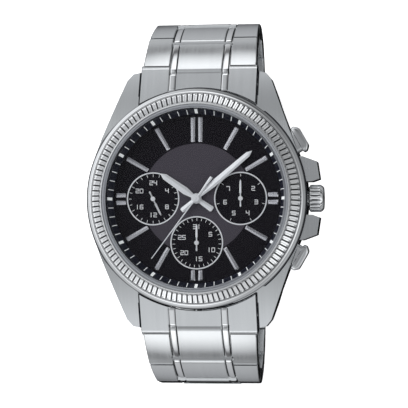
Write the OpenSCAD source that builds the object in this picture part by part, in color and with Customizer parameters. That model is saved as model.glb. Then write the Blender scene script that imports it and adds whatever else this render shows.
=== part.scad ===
// Steel bracelet watch with three small dials: dial up (+Z), 12 o'clock +Y, crown +X.
// The origin is the middle of the case back's outer face. All sizes are millimetres.

/* [Case] */
// Diameter of the round case body
case_d = 42.8; // [36:0.2:48]
// Diameter of the bore that holds the dial and the movement
case_bore_d = 34.6; // [29:0.2:35]
// Height of the case body above the case back flange
case_h = 5.7; // [5.7:0.1:7.5]
// Thickness of the case back flange
back_flange_h = 0.9; // [0.7:0.1:1.4]
// Gap between each pair of lugs
lug_gap = 23.2; // [20:0.2:26]
// Distance from lug tip to lug tip
lug_span = 49.8; // [48:0.2:54]

/* [Bezel and crystal] */
// Diameter at the foot of the bezel
bezel_d = 42.4; // [40:0.2:42.8]
// Outer diameter of the fluted ring
flute_d = 40.2; // [39:0.2:41]
// Inner diameter of the fluted ring
flute_inner_d = 36.8; // [36.6:0.1:38]
// Height of the bezel
bezel_h = 2.7; // [2:0.1:3.5]
// Number of flutes
flute_count = 120; // [60:12:144]
// Diameter of the crystal
crystal_d = 35.1; // [34.6:0.1:35.4]
// Thickness of the crystal
crystal_h = 2.2; // [1.5:0.1:2.6]

/* [Dial] */
// Thickness of the dial plate
dial_h = 0.4; // [0.3:0.05:0.6]
// Distance of each small dial from the centre
small_dial_offset = 8.5; // [8:0.1:9]
// Radius of each small dial
small_dial_r = 5.0; // [4:0.1:5.2]
// Inner end of the long hour bars
marker_inner_r = 10.95; // [10:0.1:12]
// Outer end of every hour bar
marker_outer_r = 15.75; // [15:0.05:16]

/* [Hands] */
// Length of the hour hand
hour_hand_len = 8.6; // [7:0.1:10]
// Length of the minute hand
minute_hand_len = 14.1; // [12:0.1:15]
// Length of the second hand
second_hand_len = 14.4; // [12:0.1:15.5]
// Length of each small hand
small_hand_len = 3.6; // [3:0.1:4.4]

/* [Crown and pushers] */
// Diameter of the crown
crown_d = 5.3; // [4.4:0.1:6]
// Length of the crown
crown_len = 2.6; // [2.2:0.1:3.2]
// How far the crown pulls out
crown_pull = 1.2; // [0.6:0.1:1.5]
// Angle of each pusher above and below the crown
pusher_angle = 30; // [27:1:36]
// Width of a pusher cap around the case
pusher_w = 5.4; // [4.2:0.1:6]
// How far a pusher is pressed in
pusher_travel = 0.7; // [0.4:0.1:0.8]

/* [Bracelet] */
// Distance between two link pins
pitch = 8; // [7:0.1:9]
// Thickness of a link
link_h = 3; // [2.6:0.1:3.4]
// Half width of the first link at its head pin
first_half_w = 11.1; // [10:0.1:12.4]
// Half width lost on each row
taper = 0.38; // [0.2:0.02:0.5]
// Half width of the middle links
middle_half_w = 5.8; // [5:0.1:6.4]
// Width of each polished strip on a middle link
strip_w = 1.4; // [1:0.1:1.8]
// Slope of the first row below the dial plane, degrees
first_slope = 41; // [38:1:44]
// Bend from one row to the next in the closed loop, degrees
row_bend = 22.6; // [20:0.1:24]
// Radius of a link pin
pin_r = 0.6; // [0.4:0.05:0.7]

/* [Clearances] */
// Running clearance on a radius
run_gap = 0.06; // [0.03:0.01:0.1]
// Clearance between the round end of a link and its neighbour
knuckle_gap = 0.12; // [0.1:0.01:0.2]
// Clearance between pieces that stand side by side
side_gap = 0.15; // [0.1:0.01:0.3]

/* [Hidden] */
$fn = 96;
rows = 6;
case_r = case_d / 2;
bore_r = case_bore_d / 2;
bezel_r = bezel_d / 2;
crystal_r = crystal_d / 2;
crown_r = crown_d / 2;
lug_tip_y = lug_span / 2;
lug_half_gap = lug_gap / 2;

// heights, from the case back upwards
case_z0 = back_flange_h;
case_top = case_z0 + case_h;
neck_h = 0.4;
neck_top = case_top + neck_h;
ring_flange_h = 0.4;
crystal_z0 = neck_top + ring_flange_h;
bezel_top = case_top + bezel_h;
dial_z0 = case_top - 1.3;
dial_top = dial_z0 + dial_h;
small_hand_z = dial_top + 0.2;
hour_hand_z = dial_top + 0.5;
minute_hand_z = dial_top + 0.9;
second_hand_z = dial_top + 1.3;
crown_z = case_z0 + case_h / 2;

// case back
back_r = case_r - 2.2;
plug_r = bore_r - 0.15;
plug_top = case_z0 + 0.8;
gasket_r = bore_r + 0.75;
gasket_w = 0.7;
gasket_h = 0.5;

// bezel, crystal seat and chapter ring
neck_r = bore_r + 1.6;
bezel_bore_r = crystal_r + 0.45;
chapter_outer_r = bezel_bore_r - run_gap;
chapter_inner_r = bore_r - 1.05;
dial_r = bore_r - 0.1;

// movement
holder_inner_r = bore_r - 2.4;
holder_wall = 0.6;
plate_r = holder_inner_r - 0.05;
plate_z0 = dial_z0 - 2.4;
plate_top = dial_z0 - 0.7;
battery_r = 4.75;
battery_h = 2.6;
battery_x = -6.6;
battery_y = -5.2;
battery_z0 = plug_top - 0.05;
coil_y = -8.6;
coil_x = 5;
coil_r = 1.1;
coil_len = 8;
arbor_r = 0.22;

// crown
tube_r = 1.35;
tube_in_x = bore_r - 0.5;
tube_out_x = case_r + 1.2;
stem_r = 0.6;
stem_in_x = 9.5;
crown_x = case_r + 0.4;
crown_hollow_r = tube_r + 0.3;
crown_hollow_len = 1.7;
lever_x = holder_inner_r - 3.4;
lever_t = 0.5;
lever_r = 1.15;

// pushers
stem_push_r = 0.9;
pocket_r = 1.7;
pocket_x = bore_r + 1.5;
cap_x = case_r + 0.2 + pusher_travel;
cap_t = 1.5;
cap_h = 3;
clip_t = 0.3;
clip_x = bore_r - clip_t - 0.05;
push_tip_x = bore_r - 0.8;
spring_wire_r = 0.14;
spring_turns = 4;
spring_steps = 14;
spring_sides = 6;

// bracelet: pin places of the rows, (y, z) for the 12 o'clock half
link_r = link_h / 2;
pin1_y = lug_tip_y - 0.15;
pin1_z = case_z0 - 0.1;
bar_r = 0.6;
bar_y = pin1_y - link_r - bar_r - 0.4;
bar_z = pin1_z + 0.1;
end_slope = 24;
end_gap = 0.2;
end_half_w = lug_half_gap - 0.25;
strip_drop = 0.25;
strip_in = middle_half_w - strip_w;
function slope(i) = first_slope + i * row_bend;
function pin_y(i) = i == 0 ? pin1_y : pin_y(i - 1) + pitch * cos(slope(i - 1));
function pin_z(i) = i == 0 ? pin1_z : pin_z(i - 1) - pitch * sin(slope(i - 1));
function half_w(i) = first_half_w - i * taper;

// clasp, in the frame of the last pin's height
clasp_y = pin_y(rows);
clasp_z = pin_z(rows);
clasp_half_w = half_w(rows) + 0.7;
cover_t = 0.9;
cover_wall = 0.8;
cover_end_y = clasp_y - link_r - 0.6;
cover_bottom = -2.4;
cover_wall_top = 0.9;
leaf_t = 0.7;
leaf_half_w = clasp_half_w - cover_wall - side_gap;
mid_leaf_z = -0.95;
inner_leaf_z = 0.15;
hinge_pin_r = 0.35;
hinge_r = 0.75;
fold_y = -(cover_end_y - 4);
fold_z = -0.05;
lid_hinge_y = cover_end_y - 1;
lid_hinge_z = mid_leaf_z + leaf_t / 2;
button_y = -6;
button_z = -0.35;
button_r = 0.8;
button_travel = 0.4;

steel = [0.78, 0.79, 0.8];
bright = [0.88, 0.89, 0.9];
black = [0.08, 0.08, 0.09];
brass = [0.8, 0.66, 0.35];
rubber = [0.12, 0.12, 0.12];
plastic = [0.85, 0.83, 0.76];

// ---------- helpers ----------

// Carries an outline drawn as (y, z) along X from x0 to x1
module along_x(x0, x1) {
  translate([x0, 0, 0]) rotate([90, 0, 90]) linear_extrude(x1 - x0) children();
}

// A round bar along X
module bar_x(r, x0, x1) {
  translate([x0, 0, 0]) rotate([0, 90, 0]) cylinder(r = r, h = x1 - x0);
}

// A ring about Z
module ring(r_out, r_in, z0, z1) {
  translate([0, 0, z0]) linear_extrude(z1 - z0) difference() {
    circle(r_out);
    circle(r_in);
  }
}

// Places its children at the pin of row i, with Y along the row and Z outwards
module at_row(i, half) {
  mirror([0, half == "lower" ? 1 : 0, 0])
    translate([0, pin_y(i), pin_z(i)]) rotate([-slope(i), 0, 0]) children();
}

// Places its children on the radius of a pusher, with X pointing out of the case
module at_pusher(turn) {
  translate([0, 0, crown_z]) rotate([0, 0, turn]) children();
}

// ---------- case ----------

// One lug in plan, for the +X +Y corner
module lug_plan() {
  tip_y = lug_tip_y;
  polygon([[lug_half_gap, 5], [lug_half_gap, tip_y], [lug_half_gap + 1.4, tip_y - 0.3],
    [lug_half_gap + 2.5, tip_y - 1.6], [case_r * cos(22), case_r * sin(22)], [case_r - 3, 5]]);
}

// Crown guard in plan, above the crown
module guard_plan() {
  polygon([[case_r - 3, 3.2], [case_r + 0.9, 3.2], [case_r + 2.3, 3.7], [case_r + 1.8, 7],
    [case_r - 0.9, 8], [case_r - 3, 8]]);
}

module case_plan() {
  circle(case_r);
  for (mx = [0, 1]) for (my = [0, 1]) mirror([mx, 0]) mirror([0, my]) lug_plan();
}

// Side view of the case: a low dome on top, hollowed underneath for the wrist
module case_side() {
  dome_r = 54;
  dome_top = case_top + 1.1;
  intersection() {
    translate([0, dome_top - dome_r]) circle(dome_r, $fn = 200);
    polygon([[-lug_tip_y, -1.7], [-20, -1.1], [-17.4, case_z0], [17.4, case_z0], [20, -1.1],
      [lug_tip_y, -1.7], [lug_tip_y, case_top - 0.2], [-lug_tip_y, case_top - 0.2]]);
  }
}

module case() {
  color(steel) difference() {
    union() {
      intersection() {
        translate([0, 0, -3]) linear_extrude(case_top + 3) case_plan();
        along_x(-case_r - 3, case_r + 3) case_side();
      }
      translate([0, 0, case_z0]) cylinder(r = bezel_r - 0.3, h = case_h);
      translate([0, 0, case_z0]) cylinder(r = neck_r, h = case_h + neck_h);
      for (my = [0, 1]) mirror([0, my, 0])
        translate([0, 0, crown_z - 2.3]) linear_extrude(4.6) guard_plan();
    }
    translate([0, 0, case_z0 - 1]) cylinder(r = bore_r, h = case_h + 3);
    ring(gasket_r + gasket_w / 2, gasket_r - gasket_w / 2, case_z0 - 1, case_z0 + gasket_h);
    translate([0, 0, -3]) cylinder(r = back_r + side_gap, h = case_z0 + 3);
    translate([0, 0, crown_z]) bar_x(tube_r, 5, case_r + 5);
    for (turn = [-pusher_angle, pusher_angle]) at_pusher(turn) {
      bar_x(stem_push_r + run_gap, 5, case_r + 5);
      bar_x(pocket_r, pocket_x, case_r + 5);
      translate([case_r + 0.1, -pusher_w / 2 - 0.3, -cap_h / 2 - 0.3])
        cube([5, pusher_w + 0.6, cap_h + 0.6]);
    }
    for (my = [0, 1]) mirror([0, my, 0]) translate([0, bar_y, bar_z])
      bar_x(0.4 + run_gap, -lug_half_gap - 1, lug_half_gap + 1);
  }
}

module case_back() {
  notch_count = 6;
  color(steel) difference() {
    union() {
      cylinder(r = back_r, h = back_flange_h);
      translate([0, 0, back_flange_h]) cylinder(r = plug_r, h = plug_top - case_z0);
    }
    translate([0, 0, back_flange_h]) cylinder(r = plug_r - 1, h = 5);
    for (k = [0 : notch_count - 1]) rotate([0, 0, 360 / notch_count * k])
      translate([back_r - 1.4, -1, -1]) cube([3, 2, 1.5]);
  }
}

module back_gasket() {
  color(rubber) ring(gasket_r + gasket_w / 2 - run_gap, gasket_r - gasket_w / 2 + run_gap,
    case_z0, case_z0 + gasket_h - run_gap);
}

// ---------- bezel, crystal, dial ----------

module bezel() {
  flute_z = case_top + 1.1;
  flute_top = bezel_top - 0.3;
  flute_run = (flute_d - flute_inner_d) / 2;
  flute_slope = atan((flute_top - flute_z) / flute_run);
  groove_r = PI * (flute_d + flute_inner_d) / 4 / flute_count * 0.45;
  color(bright) difference() {
    rotate_extrude() polygon([[neck_r + run_gap, case_top], [bezel_r, case_top],
      [bezel_r, case_top + 0.3], [flute_d / 2, flute_z], [flute_inner_d / 2, flute_top],
      [flute_inner_d / 2 - 0.2, bezel_top], [bezel_bore_r, bezel_top],
      [bezel_bore_r, neck_top], [neck_r + run_gap, neck_top]]);
    for (k = [0 : flute_count - 1]) rotate([0, 0, 360 / flute_count * k])
      translate([flute_inner_d / 2, 0, flute_top + 0.04]) rotate([0, 90 + flute_slope, 0])
        cylinder(r = groove_r, h = flute_run / cos(flute_slope), $fn = 4);
  }
}

module crystal() {
  color([0.8, 0.88, 0.92, 0.3]) rotate_extrude() polygon([[0, crystal_z0],
    [crystal_r, crystal_z0], [crystal_r, crystal_z0 + crystal_h - 0.35],
    [crystal_r - 0.35, crystal_z0 + crystal_h], [0, crystal_z0 + crystal_h]]);
}

module crystal_gasket() {
  color([0.9, 0.9, 0.88]) ring(bezel_bore_r - 0.02, crystal_r + 0.02, crystal_z0,
    bezel_top - 0.15);
}

module chapter_ring() {
  color(black) rotate_extrude() polygon([[chapter_inner_r, dial_top],
    [bore_r - run_gap, dial_top], [bore_r - run_gap, neck_top], [chapter_outer_r, neck_top],
    [chapter_outer_r, crystal_z0], [bore_r - 0.1, crystal_z0]]);
}

// Centres of the small dials: 24 hours, weekday, date
small_dials = [[-small_dial_offset, 0], [small_dial_offset, 0], [0, -small_dial_offset]];
feet = [[-11, 8], [11, 8], [9, -10]];

module dial() {
  sink = 0.12;
  color(black) difference() {
    union() {
      translate([0, 0, dial_z0]) cylinder(r = dial_r, h = dial_h);
      for (f = feet) translate([f[0], f[1], dial_z0 - 1.6]) cylinder(r = 0.4, h = 1.7);
    }
    translate([0, 0, dial_z0 - 1]) cylinder(r = 0.95, h = 3);
    for (c = small_dials) translate([c[0], c[1], 0]) {
      translate([0, 0, dial_z0 - 1]) cylinder(r = 0.42, h = 3);
      translate([0, 0, dial_top - sink]) cylinder(r = small_dial_r - 0.1, h = 1);
    }
  }
}

module small_dial_rings() {
  color(bright) for (c = small_dials) translate([c[0], c[1], 0])
    ring(small_dial_r + 0.08, small_dial_r - 0.08, dial_top, dial_top + 0.08);
}

// One applied hour bar on the 12 o'clock radius, wider at its outer end
module hour_bar(r_in, shift) {
  translate([shift, 0, dial_top]) linear_extrude(0.35) polygon([[-0.36, r_in], [0.36, r_in],
    [0.44, marker_outer_r], [-0.44, marker_outer_r]]);
}

module hour_markers() {
  color(bright) for (h = [0 : 11]) rotate([0, 0, -30 * h]) {
    if (h % 3 == 0) for (s = [-0.72, 0.72])
      hour_bar(h == 0 ? marker_inner_r : small_dial_offset + small_dial_r + 0.3, s);
    else hour_bar(marker_inner_r, 0);
  }
}

// ---------- hands ----------

// A pointed baton along +Y with a tail and a round boss
module hand(len, tail, wide, boss_r, hole_r, z0, t) {
  translate([0, 0, z0]) linear_extrude(t) difference() {
    union() {
      polygon([[-wide * 0.8, -tail], [wide * 0.8, -tail], [wide * 0.7, -1], [wide * 0.7, 1],
        [wide, len * 0.3], [wide * 0.75, len - wide * 1.6], [0, len],
        [-wide * 0.75, len - wide * 1.6], [-wide, len * 0.3], [-wide * 0.7, 1],
        [-wide * 0.7, -1]]);
      circle(boss_r);
    }
    if (hole_r > 0) circle(hole_r);
  }
}

hour_angle = 304.6;
minute_angle = 49.9;
second_angle = 216.7;
day_angle = 153.7;

// The hour tube carries the hour hand and turns on the minute tube
module hour_hand() {
  color(bright) {
    rotate([0, 0, -hour_angle]) hand(hour_hand_len, 3.8, 0.72, 1, 0.5, hour_hand_z, 0.2);
    ring(0.85, 0.5, plate_top + 0.1, hour_hand_z + 0.05);
  }
}

module minute_hand() {
  color(bright) {
    rotate([0, 0, -minute_angle]) hand(minute_hand_len, 3.7, 0.62, 0.85, 0.28,
      minute_hand_z, 0.2);
    ring(0.5 - run_gap, 0.28, plate_z0 + 0.3, minute_hand_z + 0.05);
  }
}

module second_hand() {
  color(bright) {
    rotate([0, 0, -second_angle]) translate([0, 0, second_hand_z]) linear_extrude(0.15) {
      polygon([[-0.3, -5.1], [0.3, -5.1], [0.12, -1.5], [0.09, second_hand_len],
        [-0.09, second_hand_len], [-0.12, -1.5]]);
      circle(0.7);
    }
    translate([0, 0, plate_z0 - 0.2]) cylinder(r = arbor_r, h = second_hand_z - plate_z0 + 0.3);
  }
}

// A small hand on its arbor
module small_hand(c, turn) {
  color(bright) translate([c[0], c[1], 0]) {
    rotate([0, 0, -turn]) hand(small_hand_len, 1.6, 0.2, 0.45, 0, small_hand_z, 0.15);
    translate([0, 0, plate_z0 + 0.2]) cylinder(r = 0.3, h = small_hand_z - plate_z0 - 0.1);
  }
}

module hand_24h() { small_hand(small_dials[0], day_angle); }
module weekday_hand() { small_hand(small_dials[1], 0); }
module date_hand() { small_hand(small_dials[2], 0); }

// ---------- movement ----------

module movement_holder() {
  body_r = holder_inner_r + holder_wall;
  color(plastic) difference() {
    rotate_extrude() polygon([[holder_inner_r, plug_top + 0.05], [bore_r - 0.15, plug_top + 0.05],
      [bore_r - 0.15, plug_top + 0.65], [body_r, plug_top + 0.65], [body_r, dial_z0 - 0.4],
      [bore_r - 0.1, dial_z0 - 0.4], [bore_r - 0.1, dial_z0], [holder_inner_r, dial_z0]]);
    along_x(holder_inner_r - 2, bore_r + 1) translate([0, crown_z]) {
      circle(tube_r + 0.2);
      translate([-tube_r - 0.2, 0]) square([2 * tube_r + 0.4, dial_z0]);
    }
    for (turn = [-pusher_angle, pusher_angle]) at_pusher(turn)
      bar_x(stem_push_r + 0.2, holder_inner_r - 2, body_r + 0.2);
  }
}

module main_plate() {
  color(brass) difference() {
    translate([0, 0, plate_z0]) cylinder(r = plate_r, h = plate_top - plate_z0);
    translate([0, 0, plate_z0 - 1]) cylinder(r = 0.5 + run_gap, h = 5);
    for (c = small_dials) translate([c[0], c[1], plate_z0 - 1])
      cylinder(r = 0.3 + run_gap, h = 5);
    for (f = feet) translate([f[0], f[1], plate_z0 - 1]) cylinder(r = 0.45, h = 5);
    translate([battery_x, battery_y, 0])
      cylinder(r = battery_r + side_gap, h = battery_z0 + battery_h + 0.1);
    translate([coil_x, coil_y, plate_z0 + 0.1])
      cube([coil_len + 0.6, 2 * coil_r + 0.4, 2 * coil_r + 0.4], center = true);
    translate([0, 0, crown_z]) bar_x(stem_r + run_gap, stem_in_x - 0.6, bore_r);
    translate([lever_x - 0.3, -lever_r - 0.3, 0])
      cube([lever_t + crown_pull + 0.6, 2 * lever_r + 0.6, plate_top + 1]);
  }
}

module train_bridge() {
  color(brass) difference() {
    translate([-1.5, -1.5, plate_z0 - 0.6]) cube([8.5, 13, 0.6]);
    translate([0, 0, plate_z0 - 2]) cylinder(r = arbor_r + run_gap, h = 4);
  }
}

module circuit_board() {
  color([0.1, 0.35, 0.2]) translate([-9, 2, plate_z0 - 0.4]) cube([7, 7, 0.4]);
}

module coil() {
  color([0.75, 0.4, 0.2]) translate([coil_x, coil_y, plate_z0 + 0.1]) {
    bar_x(coil_r * 0.75, -coil_len / 2, coil_len / 2);
    for (s = [-1, 1]) translate([s * (coil_len / 2 - 0.3), 0, 0]) bar_x(coil_r, -0.2, 0.2);
  }
}

module battery() {
  color(bright) translate([battery_x, battery_y, battery_z0]) {
    cylinder(r = battery_r, h = battery_h - 0.4);
    cylinder(r = battery_r - 0.8, h = battery_h);
  }
}

module battery_strap() {
  color(brass) translate([battery_x - 1, battery_y - battery_r - 1.5, battery_z0 - 0.3])
    cube([2, 2 * battery_r + 3, 0.25]);
}

// ---------- crown and pushers ----------

module crown() {
  teeth = 28;
  color(bright) translate([0, 0, crown_z]) difference() {
    along_x(crown_x, crown_x + crown_len) difference() {
      circle(crown_r);
      for (k = [0 : teeth - 1]) rotate(360 / teeth * k) translate([crown_r + 0.12, 0])
        circle(0.26, $fn = 16);
    }
    bar_x(crown_hollow_r, crown_x - 1, crown_x + crown_hollow_len);
  }
}

module crown_stem() {
  color(steel) translate([0, 0, crown_z]) difference() {
    bar_x(stem_r, stem_in_x, crown_x + crown_hollow_len);
    difference() {
      bar_x(stem_r + 1, lever_x - 0.1, lever_x + lever_t + 0.1);
      bar_x(stem_r - 0.2, lever_x - 1, lever_x + lever_t + 1);
    }
  }
}

module crown_tube() {
  color(steel) translate([0, 0, crown_z]) difference() {
    bar_x(tube_r, tube_in_x, tube_out_x);
    bar_x(stem_r + run_gap, tube_in_x - 1, tube_out_x + 1);
  }
}

// A fork that rides in the groove of the stem and slides with it
module setting_lever() {
  color(steel) translate([0, 0, crown_z]) difference() {
    bar_x(lever_r, lever_x, lever_x + lever_t);
    bar_x(stem_r - 0.2 + run_gap, lever_x - 1, lever_x + lever_t + 1);
  }
}

// Cap, stem and tip of a pusher, drawn on its own radius
module pusher(turn) {
  corner = 0.8;
  color(bright) at_pusher(turn) {
    difference() {
      translate([0, 0, -cap_h / 2]) linear_extrude(cap_h) polygon([[cap_x, -pusher_w / 2],
        [cap_x + cap_t - corner, -pusher_w / 2], [cap_x + cap_t, -pusher_w / 2 + corner],
        [cap_x + cap_t, pusher_w / 2 - corner], [cap_x + cap_t - corner, pusher_w / 2],
        [cap_x, pusher_w / 2]]);
      bar_x(pocket_r - 0.1, cap_x - 1, cap_x + 0.3);
    }
    bar_x(stem_push_r, push_tip_x, cap_x + 0.5);
  }
}

module upper_pusher() { difference() { pusher(pusher_angle); clip_groove(pusher_angle); } }
module lower_pusher() { difference() { pusher(-pusher_angle); clip_groove(-pusher_angle); } }

module clip_groove(turn) {
  at_pusher(turn) difference() {
    bar_x(stem_push_r + 1, clip_x - 0.03, clip_x + clip_t + 0.03);
    bar_x(stem_push_r - 0.25, clip_x - 1, clip_x + clip_t + 1);
  }
}

// A retaining clip in the groove at the inner end of a pusher stem
module pusher_clip(turn) {
  color(steel) at_pusher(turn) difference() {
    bar_x(1.05, clip_x, clip_x + clip_t);
    bar_x(stem_push_r - 0.25, clip_x - 1, clip_x + clip_t + 1);
  }
}

module pusher_clips_upper() { pusher_clip(pusher_angle); }
module pusher_clips_lower() { pusher_clip(-pusher_angle); }

// One ring of points around the spring wire, at turn angle a on a coil that climbs along X
function wire_ring(a, r, x) = [for (k = [0 : spring_sides - 1])
  let(b = 360 / spring_sides * k, rr = r + spring_wire_r * cos(b))
    [x + spring_wire_r * sin(b), rr * cos(a), rr * sin(a)]];

// The return spring of a pusher, as long as the pressed cap leaves it
module pusher_spring(turn) {
  coil_mid_r = (stem_push_r + pocket_r) / 2;
  x0 = pocket_x + spring_wire_r;
  x1 = cap_x - pusher_travel - 0.1;
  n = spring_turns * spring_steps;
  points = [for (j = [0 : n]) each wire_ring(360 * j / spring_steps, coil_mid_r,
    x0 + (x1 - x0) * j / n)];
  sides = [for (j = [0 : n - 1]) for (k = [0 : spring_sides - 1])
    let(a = j * spring_sides + k, b = j * spring_sides + (k + 1) % spring_sides)
      [a, b, b + spring_sides, a + spring_sides]];
  ends = [[for (k = [spring_sides - 1 : -1 : 0]) k],
    [for (k = [0 : spring_sides - 1]) n * spring_sides + k]];
  color(steel) at_pusher(turn) polyhedron(points, concat(sides, ends));
}

module upper_pusher_spring() { pusher_spring(pusher_angle); }
module lower_pusher_spring() { pusher_spring(-pusher_angle); }

// ---------- bracelet ----------

// Side view of a side link: hollow at its head pin, round at its tail pin
module side_profile() {
  difference() {
    union() {
      translate([0, -link_r]) square([pitch, link_h]);
      translate([pitch, 0]) circle(link_r);
    }
    circle(link_r + knuckle_gap);
    polygon([[0, 0], [2 * link_h, -2 * link_h], [-link_h, -2 * link_h], [-link_h, 0]]);
  }
}

// Side view of a middle link: round at its head pin, hollow at its tail pin
module middle_profile() {
  difference() {
    union() {
      translate([0, -link_r]) square([pitch, link_h]);
      circle(link_r);
    }
    translate([pitch, 0]) circle(link_r + knuckle_gap);
    translate([pitch, 0]) polygon([[0, 0], [-2 * link_h, -2 * link_h],
      [link_h, -2 * link_h], [link_h, 0]]);
  }
}

// Plan view of a row: it narrows from half width w0 to w1
module row_plan(w0, w1) {
  reach = link_r + 1;
  slant = (w0 - w1) / pitch * reach;
  polygon([[-w0 - slant, -reach], [w0 + slant, -reach], [w1 - slant, pitch + reach],
    [-w1 + slant, pitch + reach]]);
}

// One row: two side links, a middle link with two lower strips, a fixed pin and a hinge pin
module link_row(i, half) {
  w0 = half_w(i);
  w1 = half_w(i + 1);
  side_in = middle_half_w + side_gap;
  pin_end = w1 - 0.5;
  color(steel) at_row(i, half) {
    difference() {
      intersection() {
        union() for (mx = [0, 1]) mirror([mx, 0, 0]) along_x(side_in, w0 + 1) side_profile();
        translate([0, 0, -link_h]) linear_extrude(2 * link_h) row_plan(w0, w1);
      }
      for (s = [pitch / 2, pitch]) translate([0, s, 0])
        bar_x(pin_r + 0.02, -pin_end - 0.02, pin_end + 0.02);
    }
    difference() {
      along_x(-middle_half_w, middle_half_w) middle_profile();
      translate([0, pitch / 2, 0]) bar_x(pin_r + 0.02, -w0, w0);
      bar_x(pin_r + run_gap, -w0, w0);
      for (mx = [0, 1]) mirror([mx, 0, 0])
        translate([strip_in, -link_h, link_r - strip_drop]) cube([strip_w + 1, pitch + 9, 2]);
    }
    for (s = [pitch / 2, pitch]) translate([0, s, 0]) bar_x(pin_r, -pin_end, pin_end);
  }
}

module upper_link_1() { link_row(0, "upper"); }
module upper_link_2() { link_row(1, "upper"); }
module upper_link_3() { link_row(2, "upper"); }
module upper_link_4() { link_row(3, "upper"); }
module upper_link_5() { link_row(4, "upper"); }
module upper_link_6() { link_row(5, "upper"); }
module lower_link_1() { link_row(0, "lower"); }
module lower_link_2() { link_row(1, "lower"); }
module lower_link_3() { link_row(2, "lower"); }
module lower_link_4() { link_row(3, "lower"); }
module lower_link_5() { link_row(4, "lower"); }
module lower_link_6() { link_row(5, "lower"); }

// Side view of an end link, from the case wall to its tail pin
module end_profile(tail_r) {
  top_y = pin1_y + link_r * sin(end_slope);
  top_z = pin1_z + link_r * cos(end_slope);
  back = top_y - 16;
  difference() {
    union() {
      polygon([[16, top_z + back * tan(end_slope)], [top_y, top_z], [pin1_y, pin1_z],
        [pin1_y, pin1_z - link_r], [20.5, pin1_z - link_r], [16, case_z0]]);
      if (tail_r == 0) translate([pin1_y, pin1_z]) circle(link_r);
    }
    if (tail_r > 0) translate([pin1_y, pin1_z]) {
      circle(tail_r);
      polygon([[0, 0], [-2 * link_h, -2 * link_h], [link_h, -2 * link_h]]);
      rotate(-end_slope) translate([-0.6 * link_r, 0]) square(2 * link_h);
    }
  }
}

// The middle of an end link, with its two lower strips
module end_middle(half_wide) {
  difference() {
    along_x(-half_wide - 0.05, half_wide + 0.05) end_profile(link_r + knuckle_gap);
    for (mx = [0, 1]) mirror([mx, 0, 0]) translate([0, pin1_y, pin1_z])
      rotate([-end_slope, 0, 0]) translate([strip_in, -9, link_r - strip_drop])
        cube([strip_w + side_gap + 0.1, 12, 2]);
  }
}

module end_link(half) {
  side_in = middle_half_w + side_gap;
  color(steel) mirror([0, half == "lower" ? 1 : 0, 0]) {
    difference() {
      union() {
        for (mx = [0, 1]) mirror([mx, 0, 0]) along_x(side_in, end_half_w) end_profile(0);
        end_middle(side_in);
      }
      translate([0, 0, -5]) cylinder(r = case_r + end_gap, h = 20);
      translate([0, bar_y, bar_z]) bar_x(bar_r + run_gap, -15, 15);
      translate([0, pin1_y, pin1_z]) bar_x(pin_r + 0.02, -end_half_w + 0.6, end_half_w - 0.6);
    }
    translate([0, pin1_y, pin1_z]) bar_x(pin_r, -end_half_w + 0.65, end_half_w - 0.65);
  }
}

module upper_end_link() { end_link("upper"); }
module lower_end_link() { end_link("lower"); }

module lug_spring_bars() {
  color(steel) for (my = [0, 1]) mirror([0, my, 0]) translate([0, bar_y, bar_z]) {
    bar_x(bar_r, -end_half_w + 0.3, end_half_w - 0.3);
    bar_x(0.4, -lug_half_gap - 0.8, lug_half_gap + 0.8);
  }
}

// ---------- clasp ----------

module at_clasp() { translate([0, 0, clasp_z]) children(); }

// The leaf that the upper half of the bracelet pulls on
module clasp_inner_leaf() {
  tongue_half_w = middle_half_w;
  color(steel) at_clasp() difference() {
    union() {
      translate([-leaf_half_w + 1, fold_y, inner_leaf_z])
        cube([2 * leaf_half_w - 2, cover_end_y - 0.8 - fold_y, leaf_t]);
      along_x(-tongue_half_w, tongue_half_w) {
        translate([clasp_y, 0]) circle(link_r - 0.1);
        translate([cover_end_y - 2, inner_leaf_z]) square([clasp_y - cover_end_y + 2, leaf_t]);
      }
      translate([0, fold_y, fold_z]) bar_x(hinge_r, -leaf_half_w + 1, leaf_half_w - 1);
    }
    translate([0, clasp_y, 0]) bar_x(pin_r + run_gap, -15, 15);
    translate([0, fold_y, fold_z]) bar_x(hinge_pin_r + run_gap, -15, 15);
    translate([0, fold_y, fold_z]) bar_x(hinge_r + knuckle_gap, -3, 3);
  }
}

module clasp_middle_leaf() {
  color(steel) at_clasp() difference() {
    union() {
      translate([-leaf_half_w + 1, fold_y + 1.2, mid_leaf_z])
        cube([2 * leaf_half_w - 2, lid_hinge_y - fold_y - 1.4, leaf_t]);
      translate([-2.9, fold_y, mid_leaf_z]) cube([5.8, 2, leaf_t]);
      translate([0, fold_y, fold_z]) bar_x(hinge_r, -2.9, 2.9);
      translate([0, lid_hinge_y, lid_hinge_z]) bar_x(0.6, -3, 3);
      translate([-3, lid_hinge_y - 1, mid_leaf_z]) cube([6, 1, leaf_t]);
    }
    translate([0, fold_y, fold_z]) bar_x(hinge_pin_r, -15, 15);
    translate([0, lid_hinge_y, lid_hinge_z]) bar_x(hinge_pin_r, -15, 15);
  }
}

module clasp_cover() {
  floor_top = cover_bottom + cover_t;
  color(steel) at_clasp() difference() {
    along_x(-clasp_half_w, clasp_half_w) polygon([[-cover_end_y, cover_wall_top - 1.2],
      [-cover_end_y, cover_bottom + 0.7], [-cover_end_y + 3, cover_bottom],
      [cover_end_y - 3, cover_bottom], [cover_end_y, cover_bottom + 0.7],
      [cover_end_y, cover_wall_top - 1.2], [cover_end_y - 2.5, cover_wall_top],
      [-cover_end_y + 2.5, cover_wall_top]]);
    translate([-clasp_half_w + cover_wall, -clasp_y, floor_top])
      cube([2 * (clasp_half_w - cover_wall), 2 * clasp_y, 5]);
    translate([0, lid_hinge_y, lid_hinge_z]) bar_x(hinge_pin_r + run_gap,
      -clasp_half_w + 0.3, clasp_half_w - 0.3);
    translate([0, button_y, button_z]) bar_x(button_r + run_gap, -15, 15);
  }
}

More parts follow.
